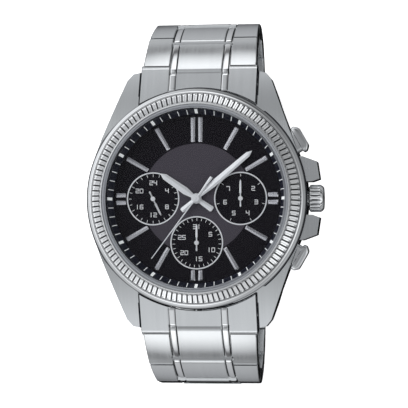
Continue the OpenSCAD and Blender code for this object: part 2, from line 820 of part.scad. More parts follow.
module clasp_fold_pin() {
  color(steel) at_clasp() translate([0, fold_y, fold_z])
    bar_x(hinge_pin_r, -leaf_half_w + 1, leaf_half_w - 1);
}

module clasp_cover_pin() {
  color(steel) at_clasp() translate([0, lid_hinge_y, lid_hinge_z])
    bar_x(hinge_pin_r, -clasp_half_w + 0.4, clasp_half_w - 0.4);
}

// A push button in the side wall of the cover, on the +X side
module clasp_button() {
  color(bright) at_clasp() translate([0, button_y, button_z]) {
    bar_x(button_r, clasp_half_w - cover_wall - 0.1, clasp_half_w + 0.5);
    bar_x(button_r + 0.25, clasp_half_w - cover_wall - 0.4, clasp_half_w - cover_wall - 0.1);
  }
}

module clasp_button_right() { clasp_button(); }
module clasp_button_left() { mirror([1, 0, 0]) clasp_button(); }

case();
case_back();
back_gasket();
bezel();
crystal();
crystal_gasket();
chapter_ring();
dial();
hour_markers();
small_dial_rings();
hour_hand();
minute_hand();
second_hand();
hand_24h();
weekday_hand();
date_hand();
movement_holder();
main_plate();
train_bridge();
circuit_board();
coil();
battery();
battery_strap();
crown();
crown_stem();
crown_tube();
setting_lever();
upper_pusher();
lower_pusher();
upper_pusher_spring();
lower_pusher_spring();
pusher_clips_upper();
pusher_clips_lower();
upper_end_link();
lower_end_link();
lug_spring_bars();
upper_link_1();
upper_link_2();
upper_link_3();
upper_link_4();
upper_link_5();
upper_link_6();
lower_link_1();
lower_link_2();
lower_link_3();
lower_link_4();
lower_link_5();
lower_link_6();
clasp_inner_leaf();
clasp_middle_leaf();
clasp_cover();
clasp_fold_pin();
clasp_cover_pin();
clasp_button_left();
clasp_button_right();
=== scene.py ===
import math

import bmesh
import bpy
import numpy as np
from mathutils import Matrix, Vector


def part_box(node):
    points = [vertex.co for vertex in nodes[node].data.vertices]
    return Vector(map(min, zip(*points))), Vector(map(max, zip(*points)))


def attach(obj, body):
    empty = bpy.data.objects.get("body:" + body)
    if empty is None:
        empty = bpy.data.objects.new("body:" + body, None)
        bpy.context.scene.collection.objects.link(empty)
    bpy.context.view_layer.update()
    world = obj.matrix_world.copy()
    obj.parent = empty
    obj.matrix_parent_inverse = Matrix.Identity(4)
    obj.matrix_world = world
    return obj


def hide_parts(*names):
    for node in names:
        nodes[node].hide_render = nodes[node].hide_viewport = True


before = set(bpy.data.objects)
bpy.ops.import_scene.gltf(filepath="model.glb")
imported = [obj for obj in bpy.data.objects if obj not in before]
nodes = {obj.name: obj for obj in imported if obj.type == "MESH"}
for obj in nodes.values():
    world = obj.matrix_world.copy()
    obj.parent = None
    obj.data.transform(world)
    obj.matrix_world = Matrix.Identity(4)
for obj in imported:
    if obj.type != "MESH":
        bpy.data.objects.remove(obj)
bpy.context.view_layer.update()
mm = 0.001
print("frame loaded:", len(nodes), "nodes")


def extent(node):
    # A node's lowest and highest corners in millimetres
    return [np.array(corner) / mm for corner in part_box(node)]


# heights and places of the head in millimetres, as in the part's source
head = {
    "dialTop": 5.7, "crystalZ": 7.4, "crystalTop": 9.6, "smallSink": 0.12,
    "smallDials": {"day": (-8.5, 0.0), "week": (8.5, 0.0), "date": (0.0, -8.5)},
}

# camera and floor in millimetres and degrees; right and below: how far off the dial's axis it stands
view = {
    "aim": (1.45, -1.05, 6.0), "right": 7.5, "below": 2.4, "distance": 400.0, "angle": 11.2,
    "floorZ": -39.12, "floorHalf": 3000.0,
}


def linked(name, data):
    # A new object in the scene
    made = bpy.data.objects.new(name, data)
    bpy.context.scene.collection.objects.link(made)
    return made


def placeCamera():
    # Looks at aim from distance along (sin right, -sin below, rest), with 12 o'clock up
    side = math.sin(math.radians(view["right"]))
    low = -math.sin(math.radians(view["below"]))
    back = np.array([side, low, math.sqrt(1 - side * side - low * low)])
    across = np.cross([0.0, 1.0, 0.0], back)
    across /= np.linalg.norm(across)
    up = np.cross(back, across)
    data = bpy.data.cameras.new("watchCamera")
    data.sensor_width = 36
    data.lens = 18 / math.tan(math.radians(view["angle"] / 2))
    data.clip_start, data.clip_end = 0.01, 50
    camera = linked("watchCamera", data)
    spot = (np.array(view["aim"]) + back * view["distance"]) * mm
    matrix = np.eye(4)
    matrix[:3, 0], matrix[:3, 1], matrix[:3, 2], matrix[:3, 3] = across, up, back, spot
    camera.matrix_world = Matrix(matrix.tolist())
    bpy.context.scene.camera = camera


class Link:
    # One output of a node; + - * / % < > and abs() on it add Math nodes
    def __init__(self, finish, socket):
        self.finish, self.socket = finish, socket

    def sum(self, operation, first, second):
        return self.finish.maths(operation, first, second)

    def __add__(self, other): return self.sum("ADD", self, other)
    def __radd__(self, other): return self.sum("ADD", other, self)
    def __sub__(self, other): return self.sum("SUBTRACT", self, other)
    def __rsub__(self, other): return self.sum("SUBTRACT", other, self)
    def __mul__(self, other): return self.sum("MULTIPLY", self, other)
    def __rmul__(self, other): return self.sum("MULTIPLY", other, self)
    def __truediv__(self, other): return self.sum("DIVIDE", self, other)
    def __rtruediv__(self, other): return self.sum("DIVIDE", other, self)
    def __gt__(self, other): return self.sum("GREATER_THAN", self, other)
    def __lt__(self, other): return self.sum("LESS_THAN", self, other)
    def __abs__(self): return self.sum("ABSOLUTE", self, 0.0)
    def __mod__(self, other): return self.sum("FLOORED_MODULO", self, other)


class Finish:
    # A node tree being filled: of a new material, or of the world
    def __init__(self, name, owner=None):
        self.owner = owner or bpy.data.materials.new(name)
        self.owner.use_nodes = True
        self.tree = self.owner.node_tree
        self.tree.nodes.clear()

    def node(self, kind, settings=None, inputs=None, out=0):
        # Any node: its settings first, then the values or links of its sockets
        made = self.tree.nodes.new(kind)
        for key, value in (settings or {}).items():
            if key == "stops":
                ramp = made.color_ramp
                while len(ramp.elements) < len(value):
                    ramp.elements.new(1.0)
                for stop, (place, shade) in zip(ramp.elements, value):
                    stop.position, stop.color = place, (*shade, 1)
            else:
                setattr(made, key, value)
        for key, value in (inputs or {}).items():
            self.feed(made.inputs[key], value)
        return Link(self, made.outputs[out])

    def maths(self, operation, first, second=0.0):
        # One Math node on links or numbers
        return self.node("ShaderNodeMath", {"operation": operation}, {0: first, 1: second})

    def feed(self, socket, value):
        if isinstance(value, Link):
            self.tree.links.new(value.socket, socket)
        elif socket.type == "RGBA":
            socket.default_value = (*value, 1)
        else:
            socket.default_value = value

    def place(self, scale=(1, 1, 1), centre=(0, 0, 0)):
        # Object coordinates in millimetres from centre, then scaled
        spot = self.node("ShaderNodeTexCoord", out="Object")
        moved = self.node("ShaderNodeVectorMath", {"operation": "MULTIPLY_ADD"},
                          {0: spot, 1: (1000.0,) * 3, 2: tuple(-c for c in centre)})
        return self.node("ShaderNodeMapping", None, {"Vector": moved, "Scale": scale})

    def axes(self, vector):
        return [self.node("ShaderNodeSeparateXYZ", None, {0: vector}, out=k) for k in range(3)]

    def noise(self, scale, detail=3.0, rough=0.5, centre=(0, 0, 0)):
        # Noise from 0 to 1 with scale waves a millimetre, or as many along X, Y and Z as it says
        scale = scale if isinstance(scale, tuple) else (scale,) * 3
        return self.node("ShaderNodeTexNoise", None, {"Vector": self.place(scale, centre), "Scale": 1.0,
                                                      "Detail": detail, "Roughness": rough})

    def radius(self, x, y):
        # sqrt((X - x)^2 + (Y - y)^2) in millimetres
        flat = self.node("ShaderNodeVectorMath", {"operation": "MULTIPLY"},
                         {0: self.place(centre=(x, y, 0)), 1: (1, 1, 0)})
        return self.node("ShaderNodeVectorMath", {"operation": "LENGTH"}, {0: flat}, out="Value")

    def angle(self, x, y):
        # Turns from 0 to 1 around (x, y)
        along = self.axes(self.place(centre=(x, y, 0)))
        return self.maths("ARCTAN2", along[1], along[0]) / (2 * math.pi) + 0.5

    def blend(self, share, first, second):
        # first where share is 0 and second where it is 1, for colours
        return self.node("ShaderNodeMix", {"data_type": "RGBA"}, {0: share, 6: first, 7: second}, out=2)

    def ramp(self, value, *stops):
        return self.node("ShaderNodeValToRGB", {"stops": stops}, {0: value})

    def step(self, value, low, high):
        # 0 below low, 1 above high and straight between
        return self.node("ShaderNodeMapRange", None, {0: value, 1: low, 2: high})

    def relief(self, height, depth, strength=1.0):
        # Height 0 to 1 stands depth millimetres proud
        return self.node("ShaderNodeBump", None, {"Height": height, "Distance": depth * mm,
                                                  "Strength": strength})

    def skin(self, **inputs):
        # The Principled surface, with underscores for the spaces in its socket names
        names = {key.replace("_", " "): value for key, value in inputs.items()}
        shader = self.node("ShaderNodeBsdfPrincipled", None, names)
        self.show(shader)
        return self.owner

    def show(self, shader):
        kind = "World" if isinstance(self.owner, bpy.types.World) else "Material"
        end = self.tree.nodes.new("ShaderNodeOutput" + kind)
        self.tree.links.new(shader.socket, end.inputs["Surface"])


def gridShell(points, closeU=False, closeV=False):
    # Points P[u, v] joined to their next ones as four-sided faces; a closed way ends at its start
    count = points.shape[0] * points.shape[1]
    ids = np.arange(count).reshape(points.shape[:2])
    ids = np.vstack([ids, ids[:1]]) if closeU else ids
    ids = np.hstack([ids, ids[:, :1]]) if closeV else ids
    faces = np.stack([ids[:-1, :-1], ids[1:, :-1], ids[1:, 1:], ids[:-1, 1:]], -1)
    return points.reshape(-1, 3), faces.reshape(-1, 4).tolist()


def capped(points):
    # A tube P[station, around] whose first and last rings become faces
    verts, faces = gridShell(points, closeV=True)
    rings = np.arange(len(verts)).reshape(points.shape[:2])
    return verts, faces + [rings[0].tolist(), rings[-1].tolist()]


def softened(corners, cut, steps=4):
    # Each corner P becomes (1-s)^2 A + 2s(1-s) P + s^2 B, A and B lying cut away along its sides
    p = np.asarray(corners, float)
    back, ahead = np.roll(p, 1, 0) - p, np.roll(p, -1, 0) - p
    backLen = np.linalg.norm(back, axis=1, keepdims=True)
    aheadLen = np.linalg.norm(ahead, axis=1, keepdims=True)
    a = p + back / backLen * np.minimum(cut, backLen * 0.45)
    b = p + ahead / aheadLen * np.minimum(cut, aheadLen * 0.45)
    s = np.linspace(0, 1, steps)[None, :, None]
    curve = (1 - s) ** 2 * a[:, None] + 2 * s * (1 - s) * p[:, None] + s * s * b[:, None]
    return curve.reshape(-1, 2)


def turned(profile, steps=192, centre=(0.0, 0.0), waves=None):
    # (r cos t, r sin t, z) for each (r, z) of a closed profile; waves(t) adds to r and z
    t = np.linspace(0, 2 * math.pi, steps, endpoint=False)[:, None]
    r, z = profile[None, :, 0] + 0 * t, profile[None, :, 1] + 0 * t
    if waves is not None:
        dr, dz = waves(t)
        r, z = r + dr, z + dz
    points = np.stack([centre[0] + r * np.cos(t), centre[1] + r * np.sin(t), z], -1)
    return gridShell(points, closeU=True, closeV=True)


def moved(shell, turn=0.0, shift=(0, 0, 0)):
    # Turned clockwise by turn degrees as seen from the dial side, then shifted
    c, s = math.cos(math.radians(turn)), math.sin(math.radians(turn))
    matrix = np.array([[c, -s, 0], [s, c, 0], [0, 0, 1]])
    return shell[0] @ matrix + np.asarray(shift, float), shell[1]


def joined(shells):
    # Several shells as one: later faces count on from the earlier points
    starts = np.cumsum([0] + [len(points) for points, faces in shells])
    faces = [[k + int(start) for k in face] for (points, own), start in zip(shells, starts) for face in own]
    return np.concatenate([points for points, own in shells]), faces


def blocks(centres, across, along, up, halfW, halfL, high):
    # Boxes with corners C +- halfW across +- halfL along + (0 or high) up, all as one array
    centres, across, along, up = (np.atleast_2d(np.asarray(v, float)) for v in (centres, across, along, up))
    n = len(centres)
    halfW, halfL = np.broadcast_to(halfW, n), np.broadcast_to(halfL, n)
    sx, sy, sz = (np.array(v) for v in ([-1, 1, 1, -1] * 2, [-1, -1, 1, 1] * 2, [0] * 4 + [1] * 4))
    points = (centres[:, None] + sx[None, :, None] * across[:, None] * halfW[:, None, None]
              + sy[None, :, None] * along[:, None] * halfL[:, None, None]
              + sz[None, :, None] * up[:, None] * high)
    sides = np.array([[3, 2, 1, 0], [4, 5, 6, 7], [0, 1, 5, 4], [1, 2, 6, 5], [2, 3, 7, 6], [3, 0, 4, 7]])
    faces = sides[None] + np.arange(n)[:, None, None] * 8
    return points.reshape(-1, 3), faces.reshape(-1, 4).tolist()


def addPiece(name, shells, body, material, stands=(), sharp=30.0):
    # Shells in millimetres as one object on its body; doubles are merged and faces turned outward
    points, faces = joined(shells)
    mesh = bpy.data.meshes.new(name)
    mesh.from_pydata((points * mm).tolist(), [], faces)
    tidyMesh(mesh, 1e-7)
    finishPiece(name, mesh, body, material, stands, sharp)


def tidyMesh(mesh, merge, flat=None):
    # Doubles merged, areas flat within flat degrees joined, faces turned outward
    shape = bmesh.new()
    shape.from_mesh(mesh)
    bmesh.ops.remove_doubles(shape, verts=shape.verts, dist=merge)
    bmesh.ops.dissolve_degenerate(shape, edges=shape.edges, dist=merge)
    if flat:
        bmesh.ops.dissolve_limit(shape, angle_limit=math.radians(flat), verts=shape.verts, edges=shape.edges)
    bmesh.ops.recalc_face_normals(shape, faces=shape.faces)
    shape.to_mesh(mesh)
    shape.free()


def finishPiece(name, mesh, body, material, stands, sharp):
    # The mesh as a piece that rides on body and takes the place of the nodes in stands
    mesh.materials.clear()
    mesh.materials.append(material)
    mesh.shade_smooth()
    mesh.set_sharp_from_angle(angle=math.radians(sharp))
    piece = linked(name, mesh)
    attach(piece, body)
    if stands:
        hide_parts(*stands)
    return piece


def edgedCopy(node, body, material, cut, steps=2, sharp=30.0):
    # A copy of the node's mesh: doubles merged, flat areas joined, edges over sharp degrees cut
    source = nodes[node].data
    points = np.zeros(len(source.vertices) * 3, np.float32)
    source.vertices.foreach_get("co", points)
    corners = np.zeros(len(source.loops), np.int32)
    source.loops.foreach_get("vertex_index", corners)
    mesh = bpy.data.meshes.new(node + "Edged")
    mesh.from_pydata(points.reshape(-1, 3).tolist(), [], corners.reshape(-1, 3).tolist())
    tidyMesh(mesh, 2e-6, flat=0.4)
    piece = finishPiece(node + "Edged", mesh, body, material, (node,), sharp)
    bevel = piece.modifiers.new("edges", "BEVEL")
    bevel.width, bevel.segments, bevel.limit_method = cut * mm, steps, "ANGLE"
    bevel.angle_limit = math.radians(sharp)
    bevel.harden_normals = True
    bevel.miter_outer = "MITER_ARC"


steel = {
    "tone": (0.72, 0.735, 0.745), "shade": (0.66, 0.675, 0.685), "bright": (0.82, 0.83, 0.84),
    # The three dark colours on the next line are painted shade, put where shade falls at joints and edges, in
    # the bezel's flutes, along the strips and in the knurl
    "paintedShade": (0.05, 0.052, 0.06), "groove": (0.1, 0.102, 0.108), "knurl": (0.06, 0.061, 0.066),
}


def makeBrushedSteel(name, lines, along, roughness=0.3, polishedWhere=None, paintedShadeWhere=None):
    # Brush lines: noise with lines waves a millimetre across X and few along; smudges widen it
    f = Finish(name)
    fine = f.noise((lines, along, along), 2.0, 0.6)
    broad = f.noise((lines * 0.22, along * 0.5, along * 0.5), 2.0, 0.5)
    smudge = f.noise(0.12, 3.0, 0.6, centre=(40, 10, 0))
    streak = fine * 0.55 + broad * 0.45
    rough = roughness + (streak - 0.5) * 0.1 + (smudge - 0.5) * 0.1
    height = streak
    if polishedWhere:
        bare = polishedWhere(f)
        rough = bare * (0.07 + smudge * 0.06) + (1 - bare) * rough
        height = streak * (1 - bare)
    tone = f.blend(f.step(streak, 0.25, 0.75), steel["shade"], steel["tone"])
    # Painted shade: the colour turns near black where the given mask for joints and edges is 1
    if paintedShadeWhere:
        tone = f.blend(paintedShadeWhere(f), tone, steel["paintedShade"])
    return f.skin(Base_Color=tone, Metallic=1.0, Roughness=rough, Normal=f.relief(height, 0.003, 0.35))


def makePolishedSteel(name, tone, roughness=0.07, metal=1.0):
    # Bright steel with faint smudges and hairline scratches in two directions
    f = Finish(name)
    smudge = f.noise(0.25, 4.0, 0.6)
    hair = f.noise((0.35, 9, 1.5), 2.0, 0.7) * f.noise((8, 0.4, 1.2), 2.0, 0.7)
    rough = roughness + f.step(smudge, 0.35, 0.8) * 0.06 + f.step(hair, 0.3, 0.6) * 0.05
    colour = f.blend(f.step(smudge, 0.3, 0.7), tone, tuple(c * 0.96 for c in tone))
    return f.skin(Base_Color=colour, Metallic=metal, Roughness=rough, Normal=f.relief(hair, 0.001, 0.3))


def makeShadedSteel(name, shadeWhere, dark=steel["groove"]):
    # Polished steel with painted shade, a dark colour and more roughness, where shadeWhere is 1
    f = Finish(name)
    smudge = f.noise(0.25, 4.0, 0.6)
    paintedShade = shadeWhere(f)
    return f.skin(Base_Color=f.blend(paintedShade, steel["bright"], dark), Metallic=1.0,
                  Roughness=0.08 + f.step(smudge, 0.35, 0.8) * 0.06 + paintedShade * 0.3,
                  Normal=f.relief(f.noise(3), 0.001, 0.3))


dialLook = {
    "disc": (10.6, 10.7), "small": (4.9, 4.95), "groovePitch": 0.16, "edge": (0.0022, 0.001, 0.0036),
    "centre": (0.058, 0.051, 0.063), "grainTone": (0.018, 0.014, 0.022), "grainShare": 0.03,
}


def makeDialBlack():
    # Middle disc charcoal, edge near black; each small dial has fine turned grooves
    f, look = Finish("dialBlack"), dialLook
    r = f.radius(0, 0)
    disc = 1 - f.step(r, *look["disc"])
    grooves, inside = 0.5, 0.0
    for x, y in head["smallDials"].values():
        own = f.radius(x, y)
        within = 1 - f.step(own, *look["small"])
        wave = f.maths("SINE", own * (2 * math.pi / look["groovePitch"]))
        grooves = grooves + within * wave * 0.5
        inside = inside + within
    grain = f.noise(14, 3.0, 0.6)
    glow = disc * (1 - inside)
    base = f.blend(glow, look["edge"], look["centre"])
    colour = f.blend(f.step(grain, 0.4, 0.8) * look["grainShare"], base, look["grainTone"])
    rough = 0.42 + (grain - 0.5) * 0.03 - inside * 0.08
    height = grooves + (grain - 0.5) * 0.02 * (1 - inside)
    return f.skin(Base_Color=colour, Metallic=0.1, Roughness=rough, Specular_IOR_Level=0.2,
                  Normal=f.relief(height, 0.012, 0.7))


def makeLacquer(name, tone, rough, grainScale=10.0, depth=0.003, glow=0.0):
    # A plain paint, rubber or plastic: colour and gloss drift with a fine and a broad noise
    f = Finish(name)
    fine, broad = f.noise(grainScale, 4.0, 0.6), f.noise(0.3, 3.0, 0.5)
    lighter = tuple(min(1.0, c * 1.25 + 0.004) for c in tone)
    colour = f.blend(f.step(fine, 0.35, 0.75) * 0.5 + f.step(broad, 0.3, 0.7) * 0.3, tone, lighter)
    return f.skin(Base_Color=colour, Roughness=rough + (fine - 0.5) * 0.12,
                  Emission_Color=(0.95, 1.0, 0.97), Emission_Strength=glow, Normal=f.relief(fine, depth, 0.6))


def makeGlass():
    # Clear pane: Fresnel gloss over Transparent, a little milky along its ground edge
    f = Finish("mineralGlass")
    r = f.radius(0, 0)
    edge = f.step(r, 17.2, 17.24)
    dust = f.noise(0.5, 4.0, 0.6)
    gloss = f.node("ShaderNodeFresnel", None, {"IOR": 1.45})
    clear = f.node("ShaderNodeBsdfTransparent", None, {"Color": (0.97, 0.975, 0.98)})
    shine = f.node("ShaderNodeBsdfPrincipled", None, {
        "Base Color": f.blend(edge, (0.9, 0.92, 0.94), (0.6, 0.62, 0.66)), "Metallic": 1.0,
        "Roughness": 0.02 + edge * 0.4 + f.step(dust, 0.5, 0.9) * 0.02})
    share = gloss * 0.2 + edge * 0.6
    f.show(f.node("ShaderNodeMixShader", None, {0: share, 1: clear, 2: shine}))
    return f.owner


def makeBrass():
    # Plated movement metal with rings of graining about the centre
    f = Finish("movementBrass")
    turns = f.maths("SINE", f.radius(0, 0) * 9.0 + f.noise(0.4) * 5.0) * 0.5 + 0.5
    grain = f.noise(6, 3.0)
    colour = f.blend(turns * 0.6, (0.62, 0.5, 0.27), (0.76, 0.66, 0.42))
    return f.skin(Base_Color=colour, Metallic=1.0, Roughness=0.26 + grain * 0.12,
                  Normal=f.relief(turns * 0.7 + grain * 0.3, 0.004, 0.5))


def makeBoard():
    # Green board with paler tracks: brick lines bent by noise
    f = Finish("boardGreen")
    lines = f.node("ShaderNodeTexBrick", {"offset": 0.37}, {
        "Vector": f.place((1, 1, 0.01)), "Scale": 0.7, "Mortar Size": 0.09, "Brick Width": 1.3,
        "Row Height": 0.55, "Color1": (0.02, 0.16, 0.07), "Color2": (0.015, 0.12, 0.05),
        "Mortar": (0.08, 0.32, 0.16)})
    grain = f.noise(12)
    return f.skin(Base_Color=lines, Roughness=0.35 + grain * 0.2, Normal=f.relief(grain, 0.004, 0.5))


def makeWire():
    # Copper winding: fine turns along X with uneven lay
    f = Finish("copperWire")
    turns = f.maths("SINE", f.axes(f.place())[0] * 50.0 + f.noise(0.5) * 3.0) * 0.5 + 0.5
    colour = f.blend(turns, (0.4, 0.16, 0.06), (0.86, 0.44, 0.22))
    return f.skin(Base_Color=colour, Metallic=0.9, Roughness=0.24 + turns * 0.15,
                  Normal=f.relief(turns, 0.03, 0.8))


finishes = {
    "rowSteel": makeBrushedSteel("rowSteel", 3.2, 0.06, 0.2),
    "claspSteel": makeBrushedSteel("claspSteel", 3.2, 0.06, 0.28),
    "polished": makePolishedSteel("polished", steel["bright"]),
    "plain": makePolishedSteel("plain", steel["shade"], 0.22),
    "handMetal": makePolishedSteel("handMetal", (0.9, 0.9, 0.915), 0.3, 0.55),
    "barMetal": makePolishedSteel("barMetal", (0.7, 0.69, 0.72), 0.24, 0.85),
    "dialBlack": makeDialBlack(),
    "chapterBlack": makeLacquer("chapterBlack", (0.008, 0.009, 0.018), 0.34, 16.0, 0.002),
    "print": makeLacquer("printWhite", (0.86, 0.86, 0.87), 0.5, 18.0, 0.001),
    # The minute track's glow is painted light: emission that brightens the ticks on the sloping chapter ring,
    # which gets less light
    "paintedGlow": makeLacquer("paintedGlowWhite", (0.9, 0.91, 0.9), 0.55, 18.0, 0.001, glow=0.22),
    "glass": makeGlass(),
    "seal": makeLacquer("sealGrey", (0.25, 0.26, 0.28), 0.42, 6.0),
    "rubber": makeLacquer("rubberBlack", (0.02, 0.02, 0.02), 0.62, 8.0, 0.01),
    "plastic": makeLacquer("creamPlastic", (0.66, 0.62, 0.5), 0.45, 5.0, 0.004),
    "brass": makeBrass(),
    "board": makeBoard(),
    "wire": makeWire(),
    "cell": makePolishedSteel("cellSteel", (0.7, 0.7, 0.69), 0.2),
}
print("shared finishes made:", len(finishes))

bezel = {
    "flutes": 120, "samples": 14, "depth": 0.3, "groove": 0.2, "tilt": 0.13, "coneRows": 15,
    "margin": 0.03, "fade": 0.12,    # shares of the cone left plain, and over which a flute sinks in
    "profile": [(18.02, 7.02), (18.98, 7.02), (18.98, 6.62), (21.2, 6.62), (21.2, 6.92), (20.92, 6.98),
                (20.58, 7.12), (20.32, 7.34), (20.18, 7.6), (20.12, 7.68), (18.42, 9.0), (18.22, 9.3),
                (18.02, 9.3)],
    # radii between which the grooves, the lines at the cone's foot and crest, and the rim get painted shade
    "dark": {"cone": (18.5, 20.1), "foot": (20.08, 20.24), "crest": (18.36, 18.46), "rim": (21.02, 21.12)},
    "darkWidth": 0.36,
}


def fluteSeams(f):
    # Painted shade in the grooves: 1 - |2u - 1| / width over each flute's share u; and painted shade lines at
    # foot, crest and rim of the cone
    r, dark = f.radius(0, 0), bezel["dark"]
    share = (f.angle(0, 0) * bezel["flutes"]) % 1.0
    groove = f.step(1 - abs(share * 2 - 1) / bezel["darkWidth"], 0.0, 0.7)
    cone, foot, crest = ((r > dark[k][0]) * (r < dark[k][1]) for k in ("cone", "foot", "crest"))
    return groove * cone + (foot * 0.85 + crest * 0.5 + f.step(r, *dark["rim"]) * 0.9)


def makeBezel():
    # A turned ring; on the cone each flute is a facet tilted by tilt * u, and a groove of its own
    # share of the pitch, depth deep, lowers it along the normal
    path = softened(bezel["profile"], 0.1)
    foot, crest = np.array(bezel["profile"][-4]), np.array(bezel["profile"][-3])
    slope = foot - crest
    length = np.linalg.norm(slope)
    margin = bezel["margin"]
    rows = np.linspace(margin, 1 - margin, bezel["coneRows"])[:, None]
    cone = foot - rows * slope
    gap = (path[:, 0] > crest[0] - 0.06) & (path[:, 0] < foot[0] + 0.05) & (path[:, 1] > 7.5)
    first = int(np.argmax(gap))
    path = np.concatenate([path[:first], cone, path[first:][~gap[first:]]])
    share = np.zeros(len(path))
    s = rows[:, 0]
    share[first:first + len(rows)] = np.clip(np.minimum(s - margin, 1 - margin - s) / bezel["fade"], 0, 1)
    normal = np.array([-slope[1], slope[0]]) / length

    def waves(t):
        u = (t * bezel["flutes"] / (2 * math.pi)) % 1.0
        cut = np.clip(1 - np.abs(2 * u - 1) / bezel["groove"], 0, 1)
        drop = (bezel["depth"] * cut + bezel["tilt"] * u) * share[None, :]
        return -drop * normal[0], -drop * normal[1]

    shell = turned(path, bezel["flutes"] * bezel["samples"], waves=waves)
    fluted = makeShadedSteel("flutedSteel", fluteSeams)
    addPiece("bezelFluted", [shell], "watch_head", fluted, ("bezel",), 40.0)


# closed profiles as (radius, height)
rings = {
    "crystal": [(0.0, head["crystalZ"]), (17.55, head["crystalZ"]), (17.55, 9.25), (17.2, head["crystalTop"]),
                (0.0, head["crystalTop"])],
    "gasket": [(17.57, 7.4), (17.98, 7.4), (17.98, 9.15), (17.57, 9.15)],
    "chapter": [(16.25, 5.7), (17.24, 5.7), (17.24, 7.0), (17.9, 7.0), (17.9, 7.4), (17.2, 7.4)],
    "smallRim": [(4.88, 5.7), (5.13, 5.7), (5.13, 5.78), (4.88, 5.78)],
}


def makeRings():
    # Turned closed profiles: crystal, its gasket, the chapter ring and the rims of the small dials
    crystal = softened(rings["crystal"], 0.04)
    crystal[crystal[:, 0] < 0.1, 0] = 0.0
    addPiece("crystalPane", [turned(crystal)], "watch_head", finishes["glass"], ("crystal",))
    gasket = softened(rings["gasket"], 0.08)
    addPiece("crystalSeal", [turned(gasket)], "watch_head", finishes["seal"], ("crystal_gasket",))
    chapter = softened(rings["chapter"], 0.03)
    addPiece("chapterRing", [turned(chapter, 240)], "watch_head", finishes["chapterBlack"],
             ("chapter_ring",))
    rim = softened(rings["smallRim"], 0.03)
    rims = [turned(rim, 144, centre) for centre in head["smallDials"].values()]
    addPiece("smallDialRims", rims, "watch_head", finishes["handMetal"], ("small_dial_rings",))


makeBezel()
makeRings()
print("bezel and rings made")

bars = {
    "inner": 10.95, "outer": 15.75, "shortInner": 13.8, "pair": 0.72, "high": 0.35, "endSlope": 0.18,
    "halfWidths": [0.36, 0.37, 0.43, 0.44], "edge": [0.1, 0.14, 0.14, 0.1], "end": 0.14,
}
# each hand by its node; its tube or arbor as outer and inner radius, lowest and highest z
small = {"len": 3.6, "tail": 1.6, "wide": 0.22, "boss": 0.45, "hole": 0.0, "z": 5.9, "thick": 0.15,
         "tube": (0.3, 0.0, 3.1, 5.95)}
hands = {
    "hour_hand": {"len": 8.6, "tail": 3.8, "wide": 0.72, "boss": 1.0, "hole": 0.3, "z": 6.2, "thick": 0.2,
                  "tube": (0.85, 0.5, 4.7, 6.25), "turn": 304.6, "at": (0, 0)},
    "minute_hand": {"len": 14.1, "tail": 3.7, "wide": 0.62, "boss": 0.85, "hole": 0.3, "z": 6.6, "thick": 0.2,
                    "tube": (0.44, 0.28, 3.2, 6.65), "turn": 49.9, "at": (0, 0)},
    "hand_24h": {**small, "turn": 153.7, "at": head["smallDials"]["day"]},
    "weekday_hand": {**small, "turn": 0.0, "at": head["smallDials"]["week"]},
    "date_hand": {**small, "turn": 0.0, "at": head["smallDials"]["date"]},
}
blade = {"widths": (0.55, 0.8, 0.62, 0.6, 1.0, 0.8), "tip": 0.02, "edge": 0.1, "ridge": 0.25}
needle = {
    "stations": [-5.1, -4.9, -1.5, 0.0, 14.4], "halfWidths": [0.2, 0.3, 0.13, 0.12, 0.08],
    "z": 7.0, "edge": 7.07, "ridge": [7.1, 7.15, 7.15, 7.15, 7.12], "turn": 216.7,
}


def roofBar(stations, halfWidths, z0, edgeZ, ridgeZ, ridge=0.0):
    # At each station y the section (-w, z0) (-w, edge) (ridge w, top) (w, edge) (w, z0) runs along Y
    y, w = np.asarray(stations, float)[:, None], np.asarray(halfWidths, float)[:, None]
    edge, top = (np.broadcast_to(np.asarray(v, float), (len(y),))[:, None] for v in (edgeZ, ridgeZ))
    x = np.hstack([-w, -w, ridge * w, w, w])
    z = np.hstack([np.full_like(w, z0), edge, top, edge, np.full_like(w, z0)])
    return capped(np.stack([x, y + 0 * x, z], -1))


def tube(outer, inner, z0, z1, soft=0.03, steps=48):
    # Turned, with soft edges: a tube, or with inner 0 an arbor or a solid hub
    profile = softened([(inner, z0), (outer, z0), (outer, z1), (inner, z1)], soft)
    if not inner:
        profile[profile[:, 0] < soft * 0.8, 0] = 0.0
    return turned(profile, steps)


def hub(radius, hole, z0, z1):
    # The same for a hand's hub, with softer edges
    return tube(radius, hole, z0, z1, 0.06, 64)


def makeBars():
    # Applied bars: a low roof whose ends slope down, two side by side at 12, 3, 6 and 9
    z0, top = head["dialTop"], head["dialTop"] + bars["high"]
    shells = []
    for hour in range(12):
        double = hour % 3 == 0
        inner = bars["shortInner"] if double and hour else bars["inner"]
        y = [inner, inner + bars["endSlope"], bars["outer"] - bars["endSlope"], bars["outer"]]
        edge, ridge = [z0 + rise for rise in bars["edge"]], [z0 + bars["end"], top, top, z0 + bars["end"]]
        one = roofBar(y, bars["halfWidths"], z0, edge, ridge, 0.1)
        for side in ((-bars["pair"], bars["pair"]) if double else (0.0,)):
            shells.append(moved((one[0] + np.array([side, 0, 0]), one[1]), 30.0 * hour))
    addPiece("hourBars", shells, "watch_head", finishes["barMetal"], ("hour_markers",), 4.0)


